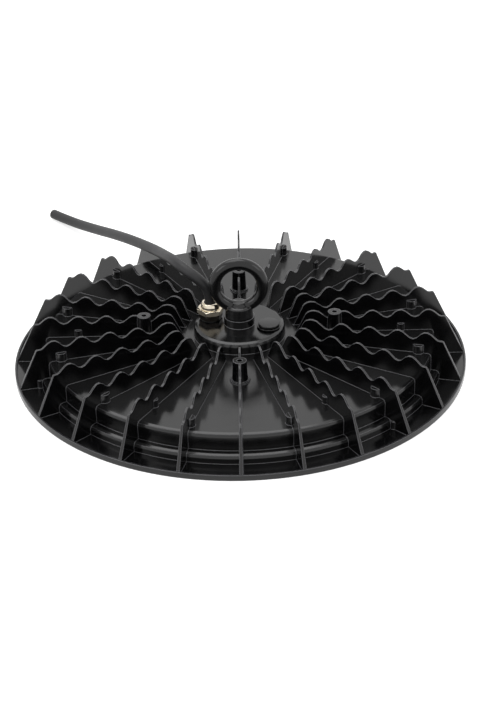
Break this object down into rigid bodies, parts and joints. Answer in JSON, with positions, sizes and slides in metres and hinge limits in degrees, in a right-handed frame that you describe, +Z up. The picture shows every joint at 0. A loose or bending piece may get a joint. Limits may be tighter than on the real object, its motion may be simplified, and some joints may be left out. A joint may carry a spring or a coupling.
{
  "type": "high bay light",
  "caption": "Round flat high bay light with a finned black die-cast housing, central lifting eye, cable gland with a short lead, and a clear cover below.",
  "frame": {"origin": "centre of the rim's underside, on the surface that the light rests on", "axes": "+Z up from the light side to the lifting eye, along the housing's axis; the ring of the lifting eye lies in the XZ plane"},
  "size_m": [0.3, 0.3779, 0.0747],
  "materials": {
    "black_paint": "satin",
    "black_steel": "satin",
    "plated_brass": "polished",
    "plug_plastic": "satin",
    "lead_rubber": "matt",
    "seal_rubber": "matt",
    "clear_lens": "clear",
    "gasket_silicone": "matt",
    "screw_steel": "plain",
    "board_white": "satin",
    "led_phosphor": "gloss",
    "chip_black": "matt",
    "fuse_glass": "clear",
    "varistor_blue": "gloss",
    "terminal_white": "matt",
    "core_brown": "satin",
    "core_blue": "satin",
    "core_green": "satin",
    "tinned_copper": "plain"
  },
  "bodies": {
    "root": {"heatsink_housing": "black_paint", "lifting_eye": "black_steel", "eye_washer": "screw_steel", "eye_nut": "screw_steel", "gland_body": "plated_brass", "gland_dome_nut": "plated_brass", "gland_seal": "seal_rubber", "gland_o_ring": "seal_rubber", "blanking_plug": "plug_plastic", "plug_o_ring": "seal_rubber", "lens_plate": "clear_lens", "lens_gasket": "gasket_silicone", "lens_screws": "screw_steel", "led_board": "board_white", "led_chips": "led_phosphor", "board_screws": "screw_steel", "driver_chips": "chip_black", "bridge_rectifier": "chip_black", "fuse": "fuse_glass", "varistor": "varistor_blue", "terminal_block": "terminal_white", "live_wire": "core_brown", "neutral_wire": "core_blue", "earth_wire": "core_green", "earth_terminal": "tinned_copper", "earth_screw": "screw_steel", "supply_lead": "lead_rubber"}
  },
  "joints": []
}
